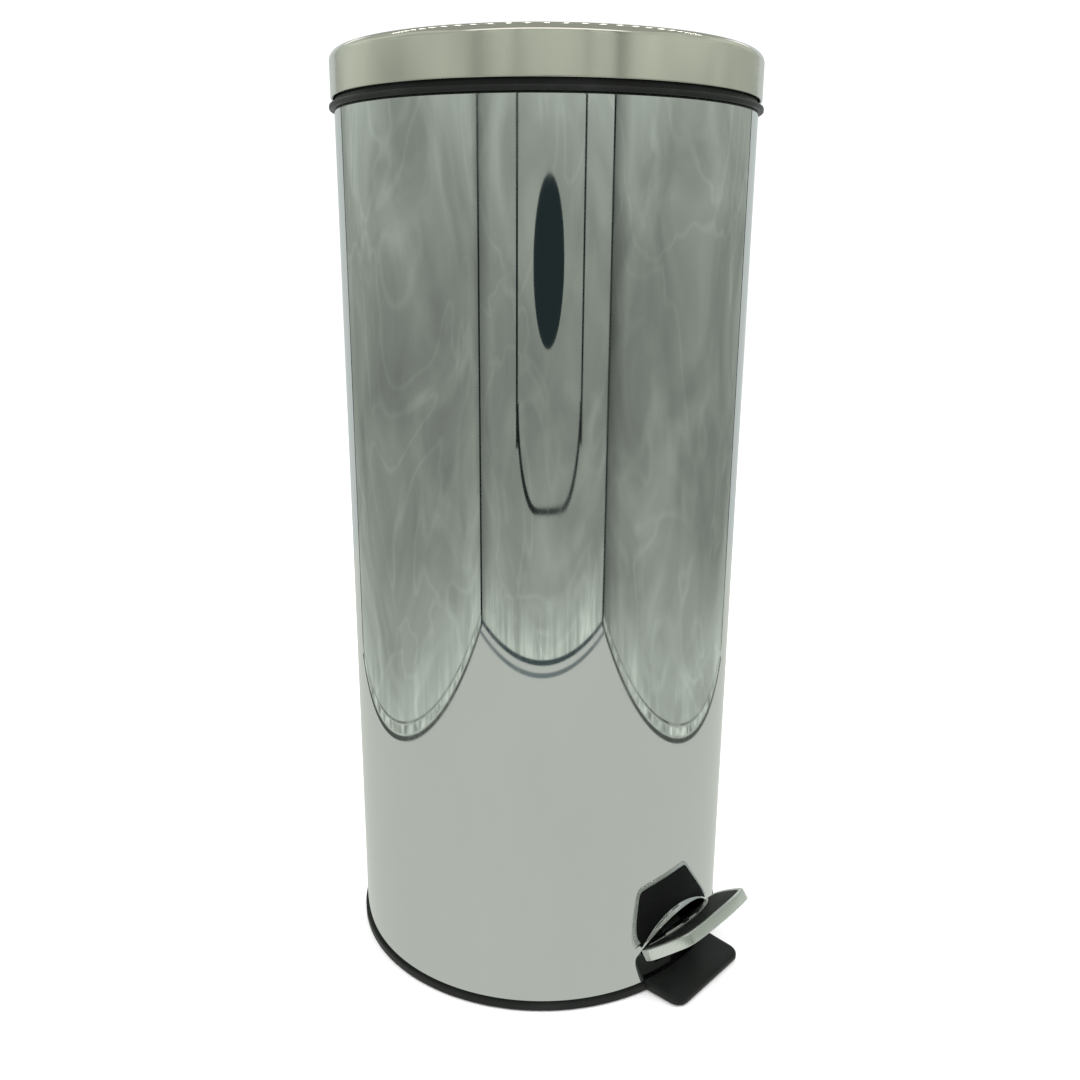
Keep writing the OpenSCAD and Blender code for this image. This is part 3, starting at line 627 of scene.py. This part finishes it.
COLUMN_STEP = 1.5           # degrees between the wall's columns of vertices
WINDOW = 24.0               # half the width, in degrees, of the wall's window round the arch
WINDOW_TOP = 72.0
WINDOW_ROWS = 14
PATCH_RINGS = 8
LIP_STEPS = 8
LOW_STEPS = 24


def arch_curve(offset, count):
    """The arch's outline in (x, z), pushed outward by offset, from its left foot to its right foot."""
    r = ARCH_R + offset
    foot = math.asin((SHOULDER_Z - ARCH_Z) / r)
    turns = [math.pi - foot - (math.pi - 2 * foot) * k / (count - 1) for k in range(count)]
    return [(r * math.cos(a), ARCH_Z + r * math.sin(a)) for a in turns]


def wall_point(bm, angle, r, z):
    """A new vertex, from its angle in degrees and its radius and height in millimetres."""
    a = math.radians(angle)
    return bm.verts.new((r * math.sin(a) * MM, -r * math.cos(a) * MM, z * MM))


def angle_of(vertex):
    """The angle in degrees that wall_point takes."""
    return math.degrees(math.atan2(vertex.co.x, -vertex.co.y))


def strip(bm, row, following):
    """Faces between two rows of vertices."""
    for i in range(len(row) - 1):
        bm.faces.new((row[i], row[i + 1], following[i + 1], following[i]))


def round_wall(bm):
    """The wall without its rear hinge gap and a window. Gives the window's border from foot to foot."""
    gap = math.degrees(math.asin(HINGE_GAP / 2 / BODY_R))
    columns = [-180 + COLUMN_STEP * k for k in range(round(360 / COLUMN_STEP) + 1)]
    # the columns nearest to the hinge gap's edges move onto them
    columns[3], columns[-4] = -180 + gap, 180 - gap
    low_rows = [SHOULDER_Z + (WINDOW_TOP - SHOULDER_Z) * k / WINDOW_ROWS for k in range(WINDOW_ROWS + 1)]
    rows = [BODY_LOW] + low_rows + [HINGE_GAP_Z, BODY_TOP - TOP_ROLL]
    turned_in = [(BODY_R - 0.08, BODY_TOP - 0.9), (BODY_R - 0.30, BODY_TOP - 0.45),
                 (BODY_R - 0.75, BODY_TOP - 0.1)]
    profile = [(BODY_R, z) for z in rows] + turned_in
    top_row, gap_row = rows.index(WINDOW_TOP), rows.index(HINGE_GAP_Z)
    grid = {(i, j): wall_point(bm, c, r, z) for i, c in enumerate(columns[:-1])
            for j, (r, z) in enumerate(profile) if abs(c) >= WINDOW or not 1 <= j < top_row}
    count = len(columns) - 1
    for i in range(count):
        k = (i + 1) % count
        mid = abs(columns[i] + columns[i + 1]) / 2
        for j in range(len(profile) - 1):
            in_gap = mid > 180 - gap and j >= gap_row
            in_window = mid < WINDOW and j < top_row
            if not in_gap and not in_window:
                bm.faces.new((grid[i, j], grid[k, j], grid[k, j + 1], grid[i, j + 1]))
    left, right = columns.index(-WINDOW), columns.index(WINDOW)
    border = [grid[left, j] for j in range(1, top_row)]
    border += [grid[i, top_row] for i in range(left, right + 1)]
    return border + [grid[right, j] for j in range(top_row - 1, 0, -1)]


def arch_patch(bm, border):
    """The wall from the window's border to the arch. Gives its last row and its feet, left to right."""
    edge = arch_curve(LIP_ROLL, len(border))
    previous = border
    left, right = [border[0]], [border[-1]]
    for ring in range(1, PATCH_RINGS + 1):
        f = (ring / PATCH_RINGS) ** 0.8
        current = []
        for outer, (x, z) in zip(border, edge):
            angle = math.atan2(outer.co.x, -outer.co.y)
            angle += (math.asin(x / BODY_R) - angle) * f
            height = outer.co.z / MM
            current.append(wall_point(bm, math.degrees(angle), BODY_R, height + (z - height) * f))
        strip(bm, previous, current)
        left.append(current[0])
        right.insert(0, current[-1])
        previous = current
    return previous, left, right


def arch_lip(bm, row):
    """The arch's edge rolls inwards and ends in a short tube."""
    turns = [math.pi / 2 * k / LIP_STEPS for k in range(1, LIP_STEPS + 1)]
    lip = [(LIP_ROLL * (1 - math.sin(a)), LIP_ROLL * (1 - math.cos(a))) for a in turns]
    lip += [(0.0, LIP_ROLL + 0.4), (0.0, LIP_DEPTH - 0.6), (0.15, LIP_DEPTH - 0.15), (0.5, LIP_DEPTH)]
    for offset, depth in lip:
        r = BODY_R - depth
        current = [bm.verts.new((x * MM, -math.sqrt(r * r - x * x) * MM, z * MM))
                   for x, z in arch_curve(offset, len(row))]
        strip(bm, row, current)
        row = current


def wall_under_arch(bm, left, right):
    """The wall below the arch and its feet, down into the base ring's groove."""
    feet = [angle_of(v) for v in left + right]
    inner = len(left)
    start, end = feet[inner - 1], feet[inner]
    between = [start + (end - start) * k / LOW_STEPS for k in range(1, LOW_STEPS)]
    tops = left + [wall_point(bm, angle, BODY_R, SHOULDER_Z) for angle in between] + right
    lows = [wall_point(bm, angle, BODY_R, BODY_LOW) for angle in feet[:inner] + between + feet[inner:]]
    strip(bm, tops, lows)


def face_outwards(obj):
    """All normals the same way, and away from the axis."""
    bm = bmesh.new()
    bm.from_mesh(obj.data)
    bmesh.ops.recalc_face_normals(bm, faces=bm.faces)
    probe = max(bm.faces, key=lambda f: f.calc_center_median().z)
    centre = probe.calc_center_median()
    if probe.normal.x * centre.x + probe.normal.y * centre.y < 0:
        bmesh.ops.reverse_faces(bm, faces=bm.faces)
    bm.to_mesh(obj.data)
    bm.free()


def body_shell():
    """The steel wall: a round sheet with the rolled arch, the hinge gap and a turned-in top edge."""
    bm = bmesh.new()
    row, left, right = arch_patch(bm, round_wall(bm))
    arch_lip(bm, row)
    wall_under_arch(bm, left, right)
    bm.normal_update()
    obj = merge(mesh_object("body_shell_skin", bm))
    face_outwards(obj)
    thick = obj.modifiers.new("sheet", "SOLIDIFY")
    thick.thickness = SHEET * MM
    thick.offset = -1
    thick.use_even_offset = True
    apply_modifiers(obj)
    for half, low, high in WAYS:
        cut(obj, box_object("way", (-half, -160, low), (half, -110, high)))
    radial_normals(obj, BODY_R, BODY_TOP - TOP_ROLL)
    finish_piece(obj, "polished_steel", "root", "body_shell")


def radial_normals(obj, radius, top):
    """Faces that lie on the round wall get exact normals, so that its mirror image is clean."""
    mesh = obj.data
    for polygon in mesh.polygons:
        polygon.use_smooth = True
    bm = bmesh.new()
    bm.from_mesh(mesh)
    for edge in bm.edges:
        edge.smooth = len(edge.link_faces) == 2 and edge.calc_face_angle(0) < math.radians(40)
    bm.to_mesh(mesh)
    bm.free()
    normals = [Vector(c.vector) for c in mesh.corner_normals]
    coords = [v.co for v in mesh.vertices]
    tolerance = 0.02 * MM
    for polygon in mesh.polygons:
        highest = max(coords[v].z for v in polygon.vertices)
        for wall, sign in ((radius * MM, 1), ((radius - SHEET) * MM, -1)):
            off = max(abs(math.hypot(coords[v].x, coords[v].y) - wall) for v in polygon.vertices)
            if off < tolerance and highest < top * MM + SAME_PLACE:
                for loop in polygon.loop_indices:
                    p = coords[mesh.loops[loop].vertex_index]
                    normals[loop] = Vector((p.x, p.y, 0)).normalized() * sign
    mesh.normals_split_custom_set([tuple(v) for v in normals])


# ---------------------------------------------------------------- lid and rings


def lid_points(inset):
    """The lid's section from its axis out to its skirt, drawn in by inset."""
    crown_steps, round_steps, first = 24, 18, 87
    flat_r = LID_R - LID_ROUND
    top = LID_SKIRT_TOP + LID_ROUND
    dome_r = (flat_r ** 2 + LID_CROWN ** 2) / (2 * LID_CROWN)
    points = []
    for i in range(crown_steps + 1):
        x = flat_r * i / crown_steps
        points.append((x, top + LID_CROWN - dome_r + math.sqrt(dome_r ** 2 - x * x) - inset))
    for i in range(1, round_steps + 1):
        a = math.radians(first - first * i / round_steps)
        r = LID_ROUND - inset
        points.append((flat_r + r * math.cos(a), LID_SKIRT_TOP + r * math.sin(a)))
    return points


def lid_shell():
    """The pressed steel lid with its rounded edge and a hem folded in round its lower edge."""
    outer = lid_points(0)
    hem_r = SHEET
    centre = (LID_R - hem_r, LID_LOW + hem_r)
    hem = [(LID_R, LID_SKIRT_TOP - 0.4), (LID_R, centre[1] + 0.3)]
    hem += [(centre[0] + hem_r * math.cos(a), centre[1] + hem_r * math.sin(a))
            for a in [-math.pi * k / 10 for k in range(11)]]
    hem += [(centre[0] - hem_r, centre[1] + 1.8), (centre[0] - 0.1, centre[1] + 2.1)]
    inner = lid_points(SHEET) + [(LID_R - SHEET, centre[1] + 2.6)]
    obj = lathe("lid_shell_skin", outer + hem + list(reversed(inner)), 288)
    shade(obj, 40)
    finish_piece(obj, "lid_steel", "lid", "lid_shell")


def box_object(name, low, high):
    """A box between two corners."""
    (x0, y0, z0), (x1, y1, z1) = low, high
    return prism(name, [(x0, y0), (x1, y0), (x1, y1), (x0, y1)], z0, z1)


def cylinder_object(name, radius, low, high, at):
    """An upright cylinder centred at (x, y)."""
    turns = [2 * math.pi * k / 48 for k in range(48)]
    outline = [(at[0] + radius * math.cos(a), at[1] + radius * math.sin(a)) for a in turns]
    return prism(name, outline, low, high)


def cut(obj, *cutters):
    """Takes the cutters' shapes out of an object for good."""
    for cutter in cutters:
        modifier = obj.modifiers.new("cut", "BOOLEAN")
        modifier.operation = "DIFFERENCE"
        modifier.solver = "EXACT"
        modifier.object = cutter
        apply_modifiers(obj)
        bpy.data.objects.remove(cutter)
    return obj


def rim_ring():
    """The moulded ring between body and lid, with its liner and the bucket's ledge."""
    outline = [(143.2, 586), (145.15, 586), (145.15, BODY_TOP), (149.5, BODY_TOP), (149.5, 630),
               (145.2, 630), (145.2, 634.5), (143.2, 634.5), (143.2, 589), (129.8, 589), (129.8, 586)]
    radii = [0, 0, 0, 0.9, 1.2, 0.4, 0.8, 0.8, 1.0, 0.7, 0.7]
    obj = lathe("rim_ring_skin", fillet(outline, radii, 4))
    shade(obj, 35)
    cut(obj, box_object("notch", (-13, 130, 602), (13, 160, 700)),
        cylinder_object("rod_hole", 3.5, 580, 595, (0, 137)))
    shade(obj, 35)
    finish_piece(obj, "black_plastic", "root", "rim_ring")


def base_ring():
    """The moulded base ring with the flat foot plate that sticks out below the pedal."""
    outline = [(128, 1), (148, 1), (148, 7), (146.05, 7), (146.05, 4), (145.15, 4), (145.15, 8),
               (143.7, 8), (143.7, 4.5), (137, 4.5), (137, 2.5), (128, 2.5)]
    radii = [0.3, 0.7, 1.2, 0, 0, 0, 0.3, 0.3, 0.3, 0.3, 0, 0]
    ring = lathe("base_ring_skin", fillet(outline, radii, 4))
    shade(ring, 35)
    sill_r, sill_low, sill_high, sill_half = 143.7, 4.2, 9.6, 43.4
    reach = math.degrees(math.asin(sill_half / BODY_R))
    outline = [(sill_r, sill_low), (BODY_R, sill_low), (BODY_R, sill_high), (sill_r, sill_high)]
    sill = lathe("sill", fillet(outline, [0, 0, 0.3, 0.8], 3), 24, -reach, 2 * reach)
    shade(sill, 35)
    half, tip, corner, drop = 41, 174, 9, 3.5
    wall = math.asin(half / BODY_R)
    turns = [wall * k / 10 for k in range(-10, 11)]
    rear = [(BODY_R * math.sin(a), -BODY_R * math.cos(a)) for a in turns]
    plan = fillet(rear + [(half, -tip), (-half, -tip)], [0] * len(rear) + [corner, corner], 12)
    plate = prism("foot_plate", plan, 1, 10)
    # the plate's upper side falls towards its tip
    for vertex in plate.data.vertices:
        if vertex.co.z > 5 * MM:
            beyond = max(0.0, -vertex.co.y / MM - BODY_R)
            vertex.co.z -= drop * beyond / (tip - BODY_R) * MM
    bevel(plate, 2.0, 5)
    shade(plate, 50)
    obj = join("base_ring_whole", [ring, sill, plate])
    finish_piece(obj, "black_plastic", "root", "base_ring")


# ---------------------------------------------------------------- pedal


def spline(points):
    """A smooth open curve through the points."""
    pieces = 6
    out = []
    for i in range(len(points) - 1):
        p0, p1 = Vector(points[max(i - 1, 0)]), Vector(points[i])
        p2, p3 = Vector(points[i + 1]), Vector(points[min(i + 2, len(points) - 1)])
        for k in range(pieces):
            t = k / pieces
            out.append(tuple(0.5 * (2 * p1 + (p2 - p0) * t + (2 * p0 - 5 * p1 + 4 * p2 - p3) * t * t
                                    + (3 * p1 - p0 - 3 * p2 + p3) * t ** 3)))
    out.append(tuple(points[-1]))
    return out


def inset_path(path, distance):
    """An open path moved to its left-hand side."""
    out = []
    for i, p in enumerate(path):
        along = Vector(path[min(i + 1, len(path) - 1)]) - Vector(path[max(i - 1, 0)])
        along.normalize()
        out.append((p[0] - along.y * distance, p[1] + along.x * distance))
    return out


def ribbon(name, path, section, place):
    """A section of (inset, height) points carried along a flat open path."""
    m = len(section)
    columns = [inset_path(path, inset) for inset, _ in section]
    verts = [place @ Vector((*columns[k][i], section[k][1])) for i in range(len(path)) for k in range(m)]
    faces = [(i * m + k, i * m + (k + 1) % m, (i + 1) * m + (k + 1) % m, (i + 1) * m + k)
             for i in range(len(path) - 1) for k in range(m)]
    faces += [tuple(range(m)), tuple(reversed(range(len(verts) - m, len(verts))))]
    return make_object(name, verts, faces)


def pedal_place():
    """From (side, distance up the slope, height over it) to the part's own frame."""
    tilt = Matrix.Rotation(math.radians(-PEDAL_TILT), 4, "X")
    return Matrix.Translation((0, -PEDAL_R, PEDAL_Z)) @ tilt @ Matrix.Scale(-1, 4, (0, 1, 0))


def pedal_outline():
    """The pedal's outline, from its left rear end round the nose to its right rear end."""
    half = [(46.9, 3.3), (48.6, 6.2), (49.4, 10), (49.4, 14), (48.5, 20), (46.6, 27), (44, 34.5),
            (42, 39.6), (40, 43), (36.8, 45.6), (32.5, 47), (24, 48.6), (12, 49.7)]
    path = [(-x, u) for x, u in half] + [(0, 50)] + list(reversed(half))
    return list(reversed(spline(path)))


def on_slope(radius):
    """How far up the pedal's slope the part's axis is this far away."""
    return (radius - PEDAL_R) / math.cos(math.radians(PEDAL_TILT))


def pad_arc(x, d=0.0):
    """Where the pad gives way to bare steel, at this side position."""
    return PAD_ARC_U + math.sqrt((PAD_ARC_R + d) ** 2 - x * x)


def behind_arc(x):
    """The rear edge of the pedal: clear of the wall, with a tongue that reaches through the arch."""
    clear_r, tongue_half, tongue_end = 148.5, 32, 140
    wall = on_slope(math.sqrt(clear_r ** 2 - x * x))
    tongue_r = 76 / math.cos(math.radians(PEDAL_TILT))
    tongue = on_slope(tongue_end) + tongue_r - math.sqrt(tongue_r ** 2 - x * x)
    return min(wall, tongue) if abs(x) < tongue_half else wall


def pedal_tray():
    """The pressed pedal: a band with a rim folded in, a sunk floor and a raised sheet behind it."""
    place = pedal_place()
    path = pedal_outline()
    section = fillet([(0, -8.5), (1.3, -8.5), (1.3, -1.2), (4, -1.2), (4, 0), (0, 0)],
                     [0.5, 0.5, 0.8, 0.5, 0.5, 1.1], 4)
    band = ribbon("pedal_band", path, section, place)
    shade(band, 60)
    front = inset_path(path, 0.7)
    half = 39.2
    sides = [-half + 2 * half * i / 64 for i in range(65)]
    arc = [(x, pad_arc(x)) for x in sides]
    rear = [(x, behind_arc(x) if abs(x) > half else pad_arc(x)) for x in sides]
    ends = [(x, behind_arc(x)) for x in (-46.5, -43.0)]
    outline = ends + rear + [(-x, u) for x, u in reversed(ends)] + front
    floor = prism("pedal_floor", outline, -5.0, -4.0, place)
    shade(floor, 35)
    sheet_rear = [(x, min(behind_arc(x), pad_arc(x) - 0.2)) for x in sides]
    sheet = prism("pedal_rear_sheet", sheet_rear + list(reversed(arc)), -1.0, 0.0, place)
    bevel(sheet, 0.15, 2, 50)
    shade(sheet, 50)
    step = ribbon("pedal_step", list(reversed(arc)), [(0, -4.8), (1, -4.8), (1, -0.6), (0, -0.6)], place)
    shade(step, 50)
    obj = join("pedal_tray_skin", [band, floor, sheet, step])
    finish_piece(obj, "pedal_steel", "pedal", "pedal_tray")


def along_path(path, start, end, count):
    """Evenly spread points of a path between two distances along it."""
    lengths = [0.0]
    for a, b in zip(path, path[1:]):
        lengths.append(lengths[-1] + (Vector(b) - Vector(a)).length)
    total = lengths[-1]
    out, k = [], 0
    for i in range(count):
        s = start + (total - end - start) * i / (count - 1)
        while k < len(path) - 2 and lengths[k + 1] < s:
            k += 1
        f = (s - lengths[k]) / (lengths[k + 1] - lengths[k])
        out.append(tuple(Vector(path[k]).lerp(Vector(path[k + 1]), f)))
    return out


def pad_loop(inset):
    """The pad's closed outline, drawn in by inset, with rounded rear corners."""
    rim, gap, corner, widest = 4.0, 0.15, 2.6, 50
    r = gap + inset
    front = [(x, u) for x, u in inset_path(pedal_outline(), rim + r)
             if u > pad_arc(min(abs(x), widest), r)]
    left, right = front[-1][0], front[0][0]
    rear = [(left + (right - left) * k / 60, 0) for k in range(61)]
    rear = [(x, pad_arc(x, r)) for x, _ in rear]
    front = along_path(front, corner, corner, 90)
    tips = [rear[-1], rear[0]]
    rear = along_path(rear, corner, corner, 50)
    out = []
    for path, tip, following in ((front, tips[1], rear), (rear, tips[0], front)):
        out += path
        a, b = Vector(path[-1]), Vector(following[0])
        for k in range(1, 6):
            t = k / 6
            out.append(tuple(a * (1 - t) ** 2 + Vector(tip) * 2 * t * (1 - t) + b * t * t))
    return out


def pedal_pad():
    """The rubber pad, a little below the steel rim, with a soft edge."""
    place = pedal_place()
    levels = [(0.0, -3.95), (0.0, -0.8), (0.12, -0.45), (0.4, -0.22), (0.8, -0.12)]
    verts, faces = [], []
    for inset, w in levels:
        loop = pad_loop(inset)
        verts += [place @ Vector((*p, w)) for p in loop]
    count = len(loop)
    for low in range(0, count * (len(levels) - 1), count):
        high = low + count
        for i in range(count):
            j = (i + 1) % count
            faces.append((low + i, low + j, high + j, high + i))
    faces += [tuple(range(count)), tuple(reversed(range(len(verts) - count, len(verts))))]
    obj = make_object("pedal_pad_skin", verts, faces)
    shade(obj, 50)
    finish_piece(obj, "pedal_pad", "pedal", "pedal_pad")


def pad_clips():
    """The two low steel clips along the pad's rear edge."""
    clips = []
    for x0, x1 in ((-27.0, -12.0), (-5.0, 4.0)):
        sides = [x0 + (x1 - x0) * k / 12 for k in range(13)]
        outline = [(x, pad_arc(x, -1.2)) for x in sides]
        outline += [(x, pad_arc(x, -0.2)) for x in reversed(sides)]
        clips.append(bevel(prism("pad_clip", outline, -0.4, 1.1, pedal_place()), 0.25, 2, 50))
    obj = shade(join("pad_clips_skin", clips), 50)
    finish_piece(obj, "pedal_steel", "pedal", "pad_clips")


make_camera()
make_studio()
dress_cad_nodes()
body_shell()
lid_shell()
rim_ring()
base_ring()
pedal_tray()
pedal_pad()
pad_clips()
